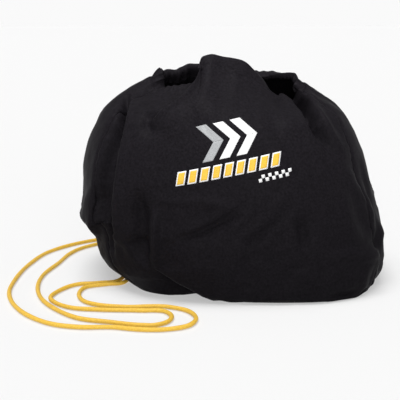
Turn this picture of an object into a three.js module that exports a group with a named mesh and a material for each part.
// A drawstring bag for a full-face motorcycle helmet, standing filled with its mouth drawn loosely shut.
// It is sewn from three pieces of thin black cloth: a front panel, a back panel and a long gusset
// strip that runs down the left side, under the bottom and up the right side. A gathered casing
// finishes the mouth. One yellow cord runs inside the casing, leaves it through a gap at the back,
// hangs down behind the bag and lies in loose bights on the floor to the left, its two ends knotted.
//
// Millimetres. +Z is up, +X is to the right and +Y to the back, seen from the front.
// The origin is on the floor, under the middle of the bag.

import * as THREE from "three";

// Overall size of the filled bag
const WIDTH = 360;
const DEPTH = 262;
const HEIGHT = 260;

// Cloth and sewing
const CLOTH_THICKNESS = 1.5;
const SEAM_GAP = 0.5;

// Cord, and the casing that it runs in: a flat sleeve of the same cloth, drawn in cross-section
// with its points along the cloth (rise) and across it (out), as shares of half its own size
const CORD_DIAMETER = 5;
const CORD_CLEARANCE = 0.5;
const CORD_SIDES = 8;
const CASING_HEIGHT = 15;
const CASING_SECTION = [
  { out: 1, rise: 0.5 },
  { out: 1, rise: -0.5 },
  { out: 0, rise: -1 },
  { out: -1, rise: -0.5 },
  { out: -1, rise: 0.5 },
  { out: 0, rise: 1 },
];
const CASING_EXIT_COLUMN = 11;
const CASING_EXIT_COLUMNS = 5;

// Cells of the cloth grid
const PANEL_COLUMNS = 32;
const GUSSET_COLUMNS = 6;
const BODY_ROWS = 10;
const DOME_ROWS = 8;

// Routes of the cord's two loose ends, chosen by hand: out of the casing, over the back edge of the
// mouth, down behind the bag, along the floor behind it and out to its left, round a bight in front
// and back under the overhang of its left side to the knot. Rows of x, y and z.
const OUTER_ROUTE = [
  [27.4, 41.7, 237.2],
  [21.2, 44.2, 238.8],
  [19, 51.5, 237.6],
  [19, 62, 228],
  [19, 76, 218.2],
  [19, 96, 206],
  [19, 112, 190.5],
  [19, 121.8, 168],
  [19, 130.6, 138],
  [19, 135, 100],
  [19, 137.5, 50],
  [18.5, 140.5, 18],
  [12, 141.5, 5],
  [0, 142, 2.7],
  [-60, 146, 2.7],
  [-120, 145, 2.7],
  [-155, 136, 2.7],
  [-182.7, 122.5, 2.7],
  [-211.2, 98, 2.7],
  [-234.2, 65.5, 2.7],
  [-247.2, 17, 2.7],
  [-252.2, -54, 2.7],
  [-249.2, -92, 2.7],
  [-234.2, -134, 2.7],
  [-213.2, -165, 2.7],
  [-179.7, -191, 2.7],
  [-156.2, -197, 2.7],
  [-123.7, -197, 2.7],
  [-95.7, -203, 2.7],
  [-70.8, -203, 2.7],
  [-47.7, -192, 2.7],
  [-41.2, -175, 2.7],
  [-49.2, -153, 2.7],
  [-70.2, -140, 2.7],
  [-114.7, -140, 2.7],
  [-145.2, -134, 2.7],
  [-161.2, -123, 2.7],
  [-170.2, -102, 2.7],
  [-166.2, -76, 2.7],
  [-145.7, -66, 2.7],
  [-126, -60, 2.7],
  [-120.8, -44, 2.7],
  [-123.5, -12, 2.7],
  [-132.6, 11, 3],
  [-134.2, 26, 4],
];
const INNER_ROUTE = [
  [-1.6, 44, 238.2],
  [4, 46, 239.2],
  [7.5, 52.5, 237.8],
  [8.5, 62, 228.5],
  [8.5, 76, 218.5],
  [8.5, 96, 206.3],
  [8, 112, 191],
  [7.5, 122, 168],
  [7, 130.8, 138],
  [6, 135, 100],
  [5, 134.8, 50],
  [3.5, 134.8, 18],
  [-3, 135, 5],
  [-15, 135.4, 2.7],
  [-70, 139, 2.7],
  [-122, 136, 2.7],
  [-153, 121.5, 2.7],
  [-178.2, 101, 2.7],
  [-195.7, 80.5, 2.7],
  [-205.2, 58, 2.7],
  [-212.2, 20, 2.7],
  [-223.2, -38, 2.7],
  [-219.2, -83.5, 2.7],
  [-208.2, -116, 2.7],
  [-187.2, -148, 2.7],
  [-160.2, -173, 2.7],
  [-125.2, -184, 2.7],
  [-96.2, -192, 2.7],
  [-82.2, -192, 2.7],
  [-69.2, -182, 2.7],
  [-66.2, -167, 2.7],
  [-74.2, -153, 2.7],
  [-99.2, -150.5, 2.7],
  [-143.2, -148, 2.7],
  [-173.2, -142, 2.7],
  [-190.2, -129, 2.7],
  [-199.7, -112, 2.7],
  [-194.2, -88, 2.7],
  [-177.2, -66, 2.7],
  [-154.2, -61, 2.7],
  [-133.5, -54.5, 2.7],
  [-127.6, -40, 2.7],
  [-130, -12, 2.7],
  [-138.6, 11, 3],
  [-139.8, 26, 4],
];

// Knot that ties the two ends together, hidden under the left side of the bag: a flattened barrel
const KNOT_MIDDLE = new THREE.Vector3(-137, 33.6, 4.9);
const KNOT_LENGTH = 14;
const KNOT_PROFILE = [
  { along: -0.5, out: 0.88 },
  { along: -0.25, out: 1 },
  { along: 0.25, out: 1 },
  { along: 0.5, out: 0.7 },
];
const KNOT_RADIUS = 6.5;
const KNOT_FLATNESS = 0.7;

// Level sections of the sack from the floor to its shoulder. rise is a share of HEIGHT, left and right
// are shares of half of WIDTH, front and back of half of DEPTH, square is the power of the rounded
// outline, and seam is how many degrees the gusset reaches before and behind its middle.
const SECTIONS = [
  { rise: 0, left: -0.585, right: 0.865, front: -0.945, back: 0.72, square: 3.5, seam: 30 },
  { rise: 0.03, left: -0.71, right: 0.93, front: -0.98, back: 0.83, square: 3, seam: 29 },
  { rise: 0.08, left: -0.825, right: 0.98, front: -1, back: 0.91, square: 2.8, seam: 28 },
  { rise: 0.14, left: -0.88, right: 1, front: -1, back: 0.96, square: 2.6, seam: 27 },
  { rise: 0.21, left: -0.91, right: 1, front: -1, back: 0.99, square: 2.45, seam: 26 },
  { rise: 0.3, left: -1, right: 0.97, front: -0.995, back: 1, square: 2.4, seam: 26 },
  { rise: 0.4, left: -0.98, right: 0.93, front: -0.98, back: 1, square: 2.35, seam: 26 },
  { rise: 0.5, left: -0.97, right: 0.885, front: -0.95, back: 0.98, square: 2.3, seam: 26 },
  { rise: 0.61, left: -0.935, right: 0.825, front: -0.89, back: 0.93, square: 2.25, seam: 25 },
  { rise: 0.71, left: -0.88, right: 0.755, front: -0.8, back: 0.85, square: 2.2, seam: 24 },
];

// Plan of the loop where the panels end and the casing begins, in the same shares.
const MOUTH = { left: -0.525, right: 0.485, front: -0.25, back: 0.38, seam: 22 };

// Height of that loop round the mouth, as a share of HEIGHT. turn is in degrees, 0 at the right and
// -90 at the front. lean is the cloth's slope there, from 0 for level to 1 for upright, and gather
// is how deep the drawn cloth waves in and out, as a share of CASING_HEIGHT.
const RIM = [
  { place: "left end", turn: -180, rise: 0.9, lean: 0.25, gather: 0.06 },
  { place: "lip left", turn: -153, rise: 0.845, lean: 0.35, gather: 0.06 },
  { place: "lip", turn: -135, rise: 0.845, lean: 0.45, gather: 0.08 },
  { place: "lip right", turn: -118, rise: 0.85, lean: 0.5, gather: 0.04 },
  { place: "flap edge", turn: -103, rise: 0.94, lean: 0.75, gather: 0 },
  { place: "peak", turn: -88, rise: 0.935, lean: 0.75, gather: 0 },
  { place: "ridge", turn: -72, rise: 0.885, lean: 0.6, gather: 0 },
  { place: "ridge foot", turn: -47, rise: 0.795, lean: 0.45, gather: 0.04 },
  { place: "right notch", turn: -24, rise: 0.81, lean: 0.35, gather: 0.05 },
  { place: "right end", turn: 14, rise: 0.865, lean: 0.3, gather: 0.05 },
  { place: "back right", turn: 50, rise: 0.88, lean: 0.5, gather: 0.12 },
  { place: "back", turn: 90, rise: 0.895, lean: 0.6, gather: 0.1 },
  { place: "back crest", turn: 110, rise: 0.905, lean: 0.65, gather: 0.12 },
  { place: "back left", turn: 145, rise: 0.885, lean: 0.4, gather: 0.12 },
];
const GATHERS = 15;
const GATHERS_START = 0.25;

// How strongly the dome between shoulder and mouth keeps the slope that it has at each end.
const DOME_FULLNESS = 0.9;

// Main folds, drawn on one face of the bag as a line from start to end. across is a share of half of
// WIDTH (half of DEPTH on a side), up a share of HEIGHT, and bow bends the line to its right hand by a
// share of its length. A "step" is cloth lying over cloth: proud on the right-hand side of its line
// and set back by under on its left, over a turn as wide as edge. A "ridge" is proud along its line,
// or a groove where proud is below 0. proud and under are shares of half of DEPTH, reach and edge are
// shares of half of WIDTH. fadeIn and fadeOut are the shares of the line where it dies out.
const FOLDS = [
  { name: "flap edge", face: "front", kind: "step", startAcross: -0.526, startUp: 0.74, endAcross: -0.182,
    endUp: 1, bow: 0.17, proud: 0.06, under: 0.07, reach: 0.14, edge: 0.012, fadeIn: 0.25, fadeOut: 0 },
  { name: "curl", face: "front", kind: "ridge", startAcross: -0.541, startUp: 0.77, endAcross: -0.484,
    endUp: 0.69, bow: 0.25, proud: -0.035, under: 0, reach: 0.03, edge: 0, fadeIn: 0.3, fadeOut: 0.4 },
  { name: "panel edge", face: "front", kind: "step", startAcross: -0.739, startUp: 0.12, endAcross: -0.64,
    endUp: 0.84, bow: -0.03, proud: 0.02, under: 0.12, reach: 0.1, edge: 0.012, fadeIn: 0.35, fadeOut: 0.3 },
  { name: "gusset edge", face: "front", kind: "step", startAcross: -0.651, startUp: 0.86, endAcross: -0.869,
    endUp: 0.1, bow: 0.07, proud: 0.06, under: 0.03, reach: 0.07, edge: 0.015, fadeIn: 0.4, fadeOut: 0.3 },
  { name: "right fold", face: "front", kind: "ridge", startAcross: 0.391, startUp: 0.87, endAcross: 0.61,
    endUp: 0.64, bow: 0.05, proud: -0.1, under: 0, reach: 0.035, edge: 0, fadeIn: 0.1, fadeOut: 0.8 },
  { name: "right seam", face: "front", kind: "ridge", startAcross: 0.756, startUp: 0.6, endAcross: 0.922,
    endUp: 0.12, bow: -0.06, proud: -0.035, under: 0, reach: 0.02, edge: 0, fadeIn: 0.4, fadeOut: 0.4 },
  { name: "low wedge", face: "front", kind: "step", startAcross: -0.151, startUp: -0.02, endAcross: -0.526,
    endUp: 0.155, bow: 0, proud: 0.05, under: 0.11, reach: 0.22, edge: 0.015, fadeIn: 0.05, fadeOut: 0.35 },
  { name: "low right sag", face: "front", kind: "step", startAcross: 0.464, startUp: 0.2, endAcross: 0.943,
    endUp: 0.15, bow: -0.05, proud: 0.03, under: 0.05, reach: 0.13, edge: 0.05, fadeIn: 0.5, fadeOut: 0.1 },
  { name: "left hollow", face: "front", kind: "ridge", startAcross: -0.567, startUp: 0.55, endAcross: -0.547,
    endUp: 0.14, bow: 0, proud: -0.035, under: 0, reach: 0.08, edge: 0, fadeIn: 0.4, fadeOut: 0.3 },
  { name: "left crest", face: "front", kind: "ridge", startAcross: -0.484, startUp: 0.42, endAcross: -0.468,
    endUp: 0.14, bow: 0, proud: 0.03, under: 0, reach: 0.035, edge: 0, fadeIn: 0.4, fadeOut: 0.2 },
  { name: "belly crease", face: "front", kind: "ridge", startAcross: 0.006, startUp: 0.25, endAcross: 0.318,
    endUp: 0.39, bow: 0.05, proud: -0.02, under: 0, reach: 0.04, edge: 0, fadeIn: 0.3, fadeOut: 0.5 },
  { name: "right crease", face: "front", kind: "ridge", startAcross: 0.381, startUp: 0.4, endAcross: 0.422,
    endUp: 0.2, bow: 0, proud: -0.025, under: 0, reach: 0.035, edge: 0, fadeIn: 0.4, fadeOut: 0.4 },
  { name: "back sag left", face: "back", kind: "ridge", startAcross: -0.442, startUp: 0.62, endAcross: -0.182,
    endUp: 0.2, bow: 0.1, proud: -0.035, under: 0, reach: 0.09, edge: 0, fadeIn: 0.5, fadeOut: 0.4 },
  { name: "back sag right", face: "back", kind: "ridge", startAcross: 0.547, startUp: 0.55, endAcross: 0.339,
    endUp: 0.16, bow: -0.1, proud: -0.035, under: 0, reach: 0.08, edge: 0, fadeIn: 0.5, fadeOut: 0.4 },
  { name: "left side fold", face: "left", kind: "ridge", startAcross: 0.15, startUp: 0.75, endAcross: 0.05,
    endUp: 0.25, bow: 0.06, proud: -0.04, under: 0, reach: 0.05, edge: 0, fadeIn: 0.4, fadeOut: 0.4 },
  { name: "right side fold", face: "right", kind: "ridge", startAcross: 0.1, startUp: 0.7, endAcross: 0.2,
    endUp: 0.2, bow: 0.06, proud: -0.04, under: 0, reach: 0.06, edge: 0, fadeIn: 0.4, fadeOut: 0.4 },
];

// Faces that folds are drawn on: which way each looks, and which axis across runs along.
const FACES = {
  front: { look: new THREE.Vector3(0, -1, 0), axis: "x", half: WIDTH / 2, hand: 1 },
  back: { look: new THREE.Vector3(0, 1, 0), axis: "x", half: WIDTH / 2, hand: -1 },
  left: { look: new THREE.Vector3(-1, 0, 0), axis: "y", half: DEPTH / 2, hand: -1 },
  right: { look: new THREE.Vector3(1, 0, 0), axis: "y", half: DEPTH / 2, hand: 1 },
};

const halfWidth = WIDTH / 2;
const halfDepth = DEPTH / 2;
const columnsRound = 2 * (PANEL_COLUMNS + GUSSET_COLUMNS);
const rowsUp = BODY_ROWS + DOME_ROWS;
const shoulderRise = SECTIONS[SECTIONS.length - 1].rise;
const casingThickness = CORD_DIAMETER + 2 * CORD_CLEARANCE + 2 * CLOTH_THICKNESS;
const radians = THREE.MathUtils.degToRad;
const smoothstep = THREE.MathUtils.smoothstep;

// Reading a table: the value of one column at a place along it, smooth and without overshoot

function secant(rows, along, column, i) {
  return (rows[i + 1][column] - rows[i][column]) / (rows[i + 1][along] - rows[i][along]);
}

function slopeAt(rows, along, column, i) {
  if (i === 0) return secant(rows, along, column, 0);
  if (i === rows.length - 1) return secant(rows, along, column, i - 1);
  const before = secant(rows, along, column, i - 1);
  const after = secant(rows, along, column, i);
  return before * after > 0 ? (2 * before * after) / (before + after) : 0;
}

function tableValue(rows, along, column, at) {
  let i = 0;
  while (i < rows.length - 2 && at > rows[i + 1][along]) i += 1;
  const span = rows[i + 1][along] - rows[i][along];
  const t = THREE.MathUtils.clamp((at - rows[i][along]) / span, 0, 1);
  return hermite(
    rows[i][column],
    slopeAt(rows, along, column, i) * span,
    rows[i + 1][column],
    slopeAt(rows, along, column, i + 1) * span,
    t,
  );
}

function hermite(start, startSlope, end, endSlope, t) {
  const t2 = t * t;
  const t3 = t2 * t;
  return (2 * t3 - 3 * t2 + 1) * start + (t3 - 2 * t2 + t) * startSlope
    + (3 * t2 - 2 * t3) * end + (t3 - t2) * endSlope;
}

const rimAllRound = [-360, 0, 360].flatMap((lap) => RIM.map((row) => ({ ...row, turn: row.turn + lap })));

// The smooth sack under the folds

function sectionPoint(turn, rise) {
  const read = (column) => tableValue(SECTIONS, "rise", column, rise);
  const [left, right] = [read("left") * halfWidth, read("right") * halfWidth];
  const [front, back] = [read("front") * halfDepth, read("back") * halfDepth];
  const square = read("square");
  const across = Math.abs(Math.cos(turn) / ((right - left) / 2)) ** square;
  const along = Math.abs(Math.sin(turn) / ((back - front) / 2)) ** square;
  const radius = (across + along) ** (-1 / square);
  return new THREE.Vector3(
    (left + right) / 2 + radius * Math.cos(turn),
    (front + back) / 2 + radius * Math.sin(turn),
    rise * HEIGHT,
  );
}

function mouthPoint(turn) {
  const degrees = THREE.MathUtils.radToDeg(turn);
  const middleX = ((MOUTH.left + MOUTH.right) / 2) * halfWidth;
  const middleY = ((MOUTH.front + MOUTH.back) / 2) * halfDepth;
  const reachX = ((MOUTH.right - MOUTH.left) / 2) * halfWidth;
  const reachY = ((MOUTH.back - MOUTH.front) / 2) * halfDepth;
  const rise = tableValue(rimAllRound, "turn", "rise", degrees);
  return new THREE.Vector3(
    middleX + reachX * Math.cos(turn),
    middleY + reachY * Math.sin(turn),
    rise * HEIGHT,
  );
}

function mouthOutward(turn) {
  const reachX = ((MOUTH.right - MOUTH.left) / 2) * halfWidth;
  const reachY = ((MOUTH.back - MOUTH.front) / 2) * halfDepth;
  return new THREE.Vector3(Math.cos(turn) / reachX, Math.sin(turn) / reachY, 0).normalize();
}

function domePoint(turn, share) {
  const foot = sectionPoint(turn, shoulderRise);
  const top = mouthPoint(turn);
  const pull = foot.distanceTo(top) * DOME_FULLNESS;
  const slopeStep = 0.03;
  const leaving = foot.clone().sub(sectionPoint(turn, shoulderRise - slopeStep)).setLength(pull);
  const lean = radians(90 * tableValue(rimAllRound, "turn", "lean", THREE.MathUtils.radToDeg(turn)));
  const arriving = mouthOutward(turn).multiplyScalar(-Math.cos(lean)).setZ(Math.sin(lean));
  arriving.setLength(pull);
  return new THREE.Vector3(
    hermite(foot.x, leaving.x, top.x, arriving.x, share),
    hermite(foot.y, leaving.y, top.y, arriving.y, share),
    hermite(foot.z, leaving.z, top.z, arriving.z, share),
  );
}

// height runs from 0 at the floor to 1 at the shoulder and 2 at the mouth.
function sackPoint(turn, height) {
  return height <= 1 ? sectionPoint(turn, height * shoulderRise) : domePoint(turn, height - 1);
}

function sackNormal(turn, height) {
  const step = 0.004;
  const low = Math.max(height - step, 0);
  const high = Math.min(height + step, 2);
  const round = sackPoint(turn + step, height).sub(sackPoint(turn - step, height));
  const up = sackPoint(turn, high).sub(sackPoint(turn, low));
  return round.cross(up).normalize();
}

// Folds and gathers on it

function foldDepth(fold, point, normal) {
  const face = FACES[fold.face];
  const facing = smoothstep(normal.dot(face.look), 0.05, 0.4);
  if (facing === 0) return 0;
  const start = new THREE.Vector2(face.hand * fold.startAcross * face.half, fold.startUp * HEIGHT);
  const end = new THREE.Vector2(face.hand * fold.endAcross * face.half, fold.endUp * HEIGHT);
  const along = end.clone().sub(start);
  const length = along.length();
  along.normalize();
  const spot = new THREE.Vector2(face.hand * point[face.axis], point.z).sub(start);
  const share = spot.dot(along) / length;
  const bend = fold.bow * length * 4 * share * (1 - share);
  const right = spot.dot(new THREE.Vector2(along.y, -along.x)) - (share > 0 && share < 1 ? bend : 0);
  const begun = fold.fadeIn > 0 ? smoothstep(share, 0, fold.fadeIn) : 1;
  const left = fold.fadeOut > 0 ? 1 - smoothstep(share, 1 - fold.fadeOut, 1) : 1;
  const strength = facing * begun * left * halfDepth;
  const reach = fold.reach * halfWidth;
  if (fold.kind === "ridge") return strength * fold.proud * Math.exp(-((right / reach) ** 2));
  const over = 0.5 + 0.5 * Math.tanh(right / (fold.edge * halfWidth));
  const fall = Math.exp(-Math.abs(right) / reach);
  return strength * (over * fold.proud - (1 - over) * fold.under) * fall;
}

function gatherDepth(turn, height) {
  const share = smoothstep(height - 1, GATHERS_START, 1);
  const depth = tableValue(rimAllRound, "turn", "gather", THREE.MathUtils.radToDeg(turn));
  return share * depth * CASING_HEIGHT * Math.cos(GATHERS * turn);
}

function foldedPoint(turn, height) {
  const point = sackPoint(turn, height);
  const normal = sackNormal(turn, height);
  let depth = gatherDepth(turn, height);
  for (const fold of FOLDS) depth += foldDepth(fold, point, normal);
  const lift = smoothstep(point.z, 0, SECTIONS[2].rise * HEIGHT);
  return point.add(new THREE.Vector3(normal.x, normal.y, normal.z * lift).multiplyScalar(depth));
}

// The grid of the whole sack. Column 0 is the seam of gusset and back panel on the right side, and the
// columns run round by the back. The last lines of the grid are the gusset's flat run under the bag.

function columnTurn(column, height) {
  const rise = Math.min(height, 1) * shoulderRise;
  const body = tableValue(SECTIONS, "rise", "seam", rise);
  const seam = radians(THREE.MathUtils.lerp(body, MOUTH.seam, Math.max(height - 1, 0)));
  const half = column < columnsRound / 2 ? 0 : 1;
  const place = column - (half * columnsRound) / 2;
  const onPanel = place <= PANEL_COLUMNS;
  const turn = onPanel
    ? seam + ((Math.PI - 2 * seam) * place) / PANEL_COLUMNS
    : Math.PI - seam + (2 * seam * (place - PANEL_COLUMNS)) / GUSSET_COLUMNS;
  return turn + half * Math.PI;
}

function rowHeight(row) {
  const bodyCrowding = 1.25;
  return row <= BODY_ROWS ? (row / BODY_ROWS) ** bodyCrowding : 1 + (row - BODY_ROWS) / DOME_ROWS;
}

const outer = [];
const wallId = (column, row) => row * columnsRound + ((column + columnsRound) % columnsRound);
for (let row = 0; row <= rowsUp; row += 1) {
  for (let column = 0; column < columnsRound; column += 1) {
    const height = rowHeight(row);
    outer.push(foldedPoint(columnTurn(column, height), height));
  }
}

// Columns of the front panel run from the left seam to the right one, and the back panel's likewise.
const frontColumn = (i) => PANEL_COLUMNS + GUSSET_COLUMNS + i;
const backColumn = (i) => PANEL_COLUMNS - i;

// Under the bag, line i joins column i of the front panel to column i of the back panel.
const floorFirstId = outer.length;
function floorId(i, j) {
  if (i === 0) return wallId(frontColumn(0) - j, 0);
  if (i === PANEL_COLUMNS) return wallId(frontColumn(PANEL_COLUMNS) + j, 0);
  if (j === 0) return wallId(frontColumn(i), 0);
  if (j === GUSSET_COLUMNS) return wallId(backColumn(i), 0);
  return floorFirstId + (i - 1) * (GUSSET_COLUMNS - 1) + j - 1;
}
for (let i = 1; i < PANEL_COLUMNS; i += 1) {
  const across = i / PANEL_COLUMNS;
  const front = outer[floorId(i, 0)];
  const back = outer[floorId(i, GUSSET_COLUMNS)];
  for (let j = 1; j < GUSSET_COLUMNS; j += 1) {
    const share = j / GUSSET_COLUMNS;
    const straight = front.clone().lerp(back, share);
    const leftEnd = outer[floorId(0, j)].clone().sub(
      outer[floorId(0, 0)].clone().lerp(outer[floorId(0, GUSSET_COLUMNS)], share),
    );
    const rightEnd = outer[floorId(PANEL_COLUMNS, j)].clone().sub(
      outer[floorId(PANEL_COLUMNS, 0)].clone().lerp(outer[floorId(PANEL_COLUMNS, GUSSET_COLUMNS)], share),
    );
    outer.push(straight.add(leftEnd.multiplyScalar(1 - across)).add(rightEnd.multiplyScalar(across)));
  }
}

// Patches of the grid, one for each piece of cloth, as lines of ids with the outside to the viewer:
// along each line, and then from line to line on the right-hand side of it.

function panelPatch(columnOf) {
  const lines = [];
  for (let i = 0; i <= PANEL_COLUMNS; i += 1) {
    const line = [];
    for (let row = 0; row <= rowsUp; row += 1) line.push(wallId(columnOf(i), row));
    lines.push(line);
  }
  return lines;
}

// The gusset's lines run from its back seam to its front seam, down the left side, along under the bag
// and up the right side.
function gussetPatch() {
  const wallLine = (column, step, row) => Array.from(
    { length: GUSSET_COLUMNS + 1 },
    (_, j) => wallId(column + step * j, row),
  );
  const lines = [];
  for (let row = rowsUp; row > 0; row -= 1) lines.push(wallLine(backColumn(0), 1, row));
  for (let i = 0; i <= PANEL_COLUMNS; i += 1) {
    lines.push(Array.from({ length: GUSSET_COLUMNS + 1 }, (_, j) => floorId(i, GUSSET_COLUMNS - j)));
  }
  for (let row = 1; row <= rowsUp; row += 1) lines.push(wallLine(columnsRound, -1, row));
  return lines;
}

const patches = {
  front: panelPatch(frontColumn),
  back: panelPatch((i) => backColumn(PANEL_COLUMNS - i)),
  gusset: gussetPatch(),
};

function patchTriangles(lines) {
  const triangles = [];
  for (let i = 0; i + 1 < lines.length; i += 1) {
    for (let j = 0; j + 1 < lines[i].length; j += 1) {
      const [a, b, c, d] = [lines[i][j], lines[i + 1][j], lines[i + 1][j + 1], lines[i][j + 1]];
      triangles.push([a, b, c], [a, c, d]);
    }
  }
  return triangles;
}

// The inside of the cloth lies one thickness behind the outside, mitred where the cloth turns.

function insideOf(points, triangles) {
  const faceNormal = (t) => new THREE.Vector3().crossVectors(
    points[t[1]].clone().sub(points[t[0]]),
    points[t[2]].clone().sub(points[t[0]]),
  );
  const normals = points.map(() => new THREE.Vector3());
  for (const t of triangles) t.forEach((id) => normals[id].add(faceNormal(t)));
  normals.forEach((normal) => normal.normalize());
  const least = points.map(() => 1);
  for (const t of triangles) {
    const normal = faceNormal(t).normalize();
    t.forEach((id) => { least[id] = Math.min(least[id], normal.dot(normals[id])); });
  }
  const sharpest = 0.65;
  return points.map((point, id) => point.clone().addScaledVector(
    normals[id],
    -CLOTH_THICKNESS / Math.max(least[id], sharpest),
  ));
}

const inner = insideOf(outer, Object.values(patches).flatMap(patchTriangles));

// Solids

function closedMesh(name, points, triangles, material) {
  const geometry = new THREE.BufferGeometry();
  geometry.setAttribute("position", new THREE.Float32BufferAttribute(points.flatMap((p) => p.toArray()), 3));
  geometry.setIndex(triangles.flat());
  geometry.computeVertexNormals();
  const mesh = new THREE.Mesh(geometry, material);
  mesh.name = name;
  return mesh;
}

// A patch as a closed piece of cloth. Its sewn edges are trimmed back by half of the seam's gap.
function clothPiece(name, lines, sewn, material) {
  const across = lines[0].length;
  const skins = [outer, inner].map((skin) => lines.map((line) => line.map((id) => skin[id].clone())));
  const trim = (point, inward) => point.add(inward.clone().sub(point).setLength(SEAM_GAP / 2));
  for (const skin of skins) {
    const copy = skin.map((line) => line.map((point) => point.clone()));
    skin.forEach((line, i) => {
      if (sewn.lineStarts) trim(line[0], copy[i][1]);
      if (sewn.lineEnds) trim(line[across - 1], copy[i][across - 2]);
    });
    const last = lines.length - 1;
    for (let j = 0; j < across; j += 1) {
      if (sewn.firstLine) trim(skin[0][j], copy[1][j]);
      if (sewn.lastLine) trim(skin[last][j], copy[last - 1][j]);
    }
  }
  const points = skins.flat(2);
  const insideFirst = lines.length * across;
  const local = lines.map((line, i) => line.map((_, j) => i * across + j));
  const outside = patchTriangles(local);
  const inside = outside.map(([a, b, c]) => [a + insideFirst, c + insideFirst, b + insideFirst]);
  const rim = [
    ...local.map((line) => line[0]),
    ...local[lines.length - 1].slice(1),
    ...local.map((line) => line[across - 1]).reverse().slice(1),
    ...local[0].slice(1, -1).reverse(),
  ];
  const edge = rim.flatMap((id, k) => {
    const next = rim[(k + 1) % rim.length];
    return [[next, id, id + insideFirst], [next, id + insideFirst, next + insideFirst]];
  });
  return closedMesh(name, points, [...outside, ...inside, ...edge], material);
}

// Loops of points joined into a sleeve: the outer wall, the inner wall and the two open ends.
function sleeve(name, outerLoops, innerLoops, material) {
  const sides = outerLoops[0].length;
  const inside = outerLoops.length * sides;
  const triangles = [];
  const quad = (a, b, c, d) => triangles.push([a, b, c], [a, c, d]);
  for (let k = 0; k < sides; k += 1) {
    const next = (k + 1) % sides;
    for (let i = 0; i + 1 < outerLoops.length; i += 1) {
      const [low, high] = [i * sides, (i + 1) * sides];
      quad(low + k, low + next, high + next, high + k);
      quad(inside + low + next, inside + low + k, inside + high + k, inside + high + next);
    }
    const last = (outerLoops.length - 1) * sides;
    quad(k, inside + k, inside + next, next);
    quad(last + next, inside + last + next, inside + last + k, last + k);
  }
  return closedMesh(name, [...outerLoops, ...innerLoops].flat(), triangles, material);
}

// The casing stands on the top edge of the cloth and follows its gathers.

function rimFrames() {
  const middle = (column, row) => {
    const id = wallId(column, row);
    return outer[id].clone().add(inner[id]).multiplyScalar(0.5);
  };
  const frames = [];
  for (let step = 0; step <= columnsRound - CASING_EXIT_COLUMNS; step += 1) {
    const column = CASING_EXIT_COLUMN + CASING_EXIT_COLUMNS + step;
    const foot = middle(column, rowsUp);
    const up = new THREE.Vector3();
    for (const beside of [-1, 0, 1]) {
      up.add(middle(column + beside, rowsUp).sub(middle(column + beside, rowsUp - 1)).normalize());
    }
    const along = middle(column + 1, rowsUp).sub(middle(column - 1, rowsUp)).normalize();
    const follow = 0.85;
    up.addScaledVector(along, -follow * up.dot(along)).normalize();
    const out = new THREE.Vector3().crossVectors(along, up).normalize();
    const centre = foot.clone().addScaledVector(up, SEAM_GAP + CASING_HEIGHT / 2);
    frames.push({ centre, up, out });
  }
  return frames;
}

function casingLoop(frame, height, thickness) {
  return CASING_SECTION.map((corner) => frame.centre.clone()
    .addScaledVector(frame.out, (corner.out * thickness) / 2)
    .addScaledVector(frame.up, (corner.rise * height) / 2));
}

// Cord

const cordSection = Array.from({ length: CORD_SIDES }, (_, k) => {
  const turn = (-2 * Math.PI * k) / CORD_SIDES;
  return new THREE.Vector2(Math.cos(turn), Math.sin(turn)).multiplyScalar(CORD_DIAMETER / 2);
});

// The stretch inside the casing is laid on the casing's own frames, so that it stays in its channel.
function cordInCasing(name, along, material) {
  const loops = along.map((frame) => cordSection.map((corner) => frame.centre.clone()
    .addScaledVector(frame.out, corner.x)
    .addScaledVector(frame.up, corner.y)));
  const triangles = [];
  const last = (loops.length - 1) * CORD_SIDES;
  for (let k = 0; k < CORD_SIDES; k += 1) {
    const next = (k + 1) % CORD_SIDES;
    for (let low = 0; low < last; low += CORD_SIDES) {
      const high = low + CORD_SIDES;
      triangles.push([low + k, low + next, high + next], [low + k, high + next, high + k]);
    }
    if (k > 0 && k < CORD_SIDES - 1) triangles.push([0, next, k], [last, last + k, last + next]);
  }
  return closedMesh(name, loops.flat(), triangles, material);
}

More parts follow.
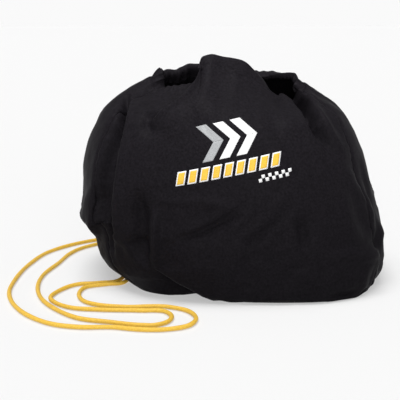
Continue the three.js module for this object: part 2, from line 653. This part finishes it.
// A loose stretch has one step from each point of its route to the next.
function looseCord(name, route, material) {
  const points = route.map((row) => new THREE.Vector3(...row));
  const curve = new THREE.CatmullRomCurve3(points, false, "centripetal");
  curve.getUtoTmapping = (share) => share;
  const section = new THREE.Shape(cordSection.slice().reverse());
  const geometry = new THREE.ExtrudeGeometry(section, { steps: route.length - 1, extrudePath: curve });
  const mesh = new THREE.Mesh(geometry, material);
  mesh.name = name;
  return mesh;
}

function knot(name, material) {
  const profile = KNOT_PROFILE.map(({ out, along }) => new THREE.Vector2(out * KNOT_RADIUS, along * KNOT_LENGTH));
  const closed = [new THREE.Vector2(0, profile[0].y), ...profile, new THREE.Vector2(0, profile.at(-1).y)];
  const mesh = new THREE.Mesh(new THREE.LatheGeometry(closed, 12), material);
  mesh.position.copy(KNOT_MIDDLE);
  mesh.scale.set(1, 1, KNOT_FLATNESS);
  mesh.name = name;
  return mesh;
}

// Assembly

const finish = (name, color, roughness) => new THREE.MeshStandardMaterial({ name, color, roughness, metalness: 0 });
const cloth = finish("black_cloth", 0x1d1c20, 0.8);
const binding = finish("black_hem", 0x222126, 0.85);
const yellow = finish("yellow_cord", 0xe3a92e, 0.75);

const panelSeams = { lineStarts: true, lineEnds: false, firstLine: true, lastLine: true };
const gussetSeams = { lineStarts: true, lineEnds: true, firstLine: false, lastLine: false };

const frames = rimFrames();
const channelHeight = CASING_HEIGHT - 2 * CLOTH_THICKNESS;
const channelThickness = casingThickness - 2 * CLOTH_THICKNESS;

const bag = new THREE.Group();
bag.add(
  clothPiece("front_panel", patches.front, panelSeams, cloth),
  clothPiece("back_panel", patches.back, panelSeams, cloth),
  clothPiece("gusset", patches.gusset, gussetSeams, cloth),
  sleeve(
    "casing",
    frames.map((frame) => casingLoop(frame, CASING_HEIGHT, casingThickness)),
    frames.map((frame) => casingLoop(frame, channelHeight, channelThickness)),
    binding,
  ),
  cordInCasing("casing_cord", frames, yellow),
  looseCord("cord_outer", OUTER_ROUTE, yellow),
  looseCord("cord_inner", INNER_ROUTE, yellow),
  knot("cord_knot", yellow),
);

export default bag;
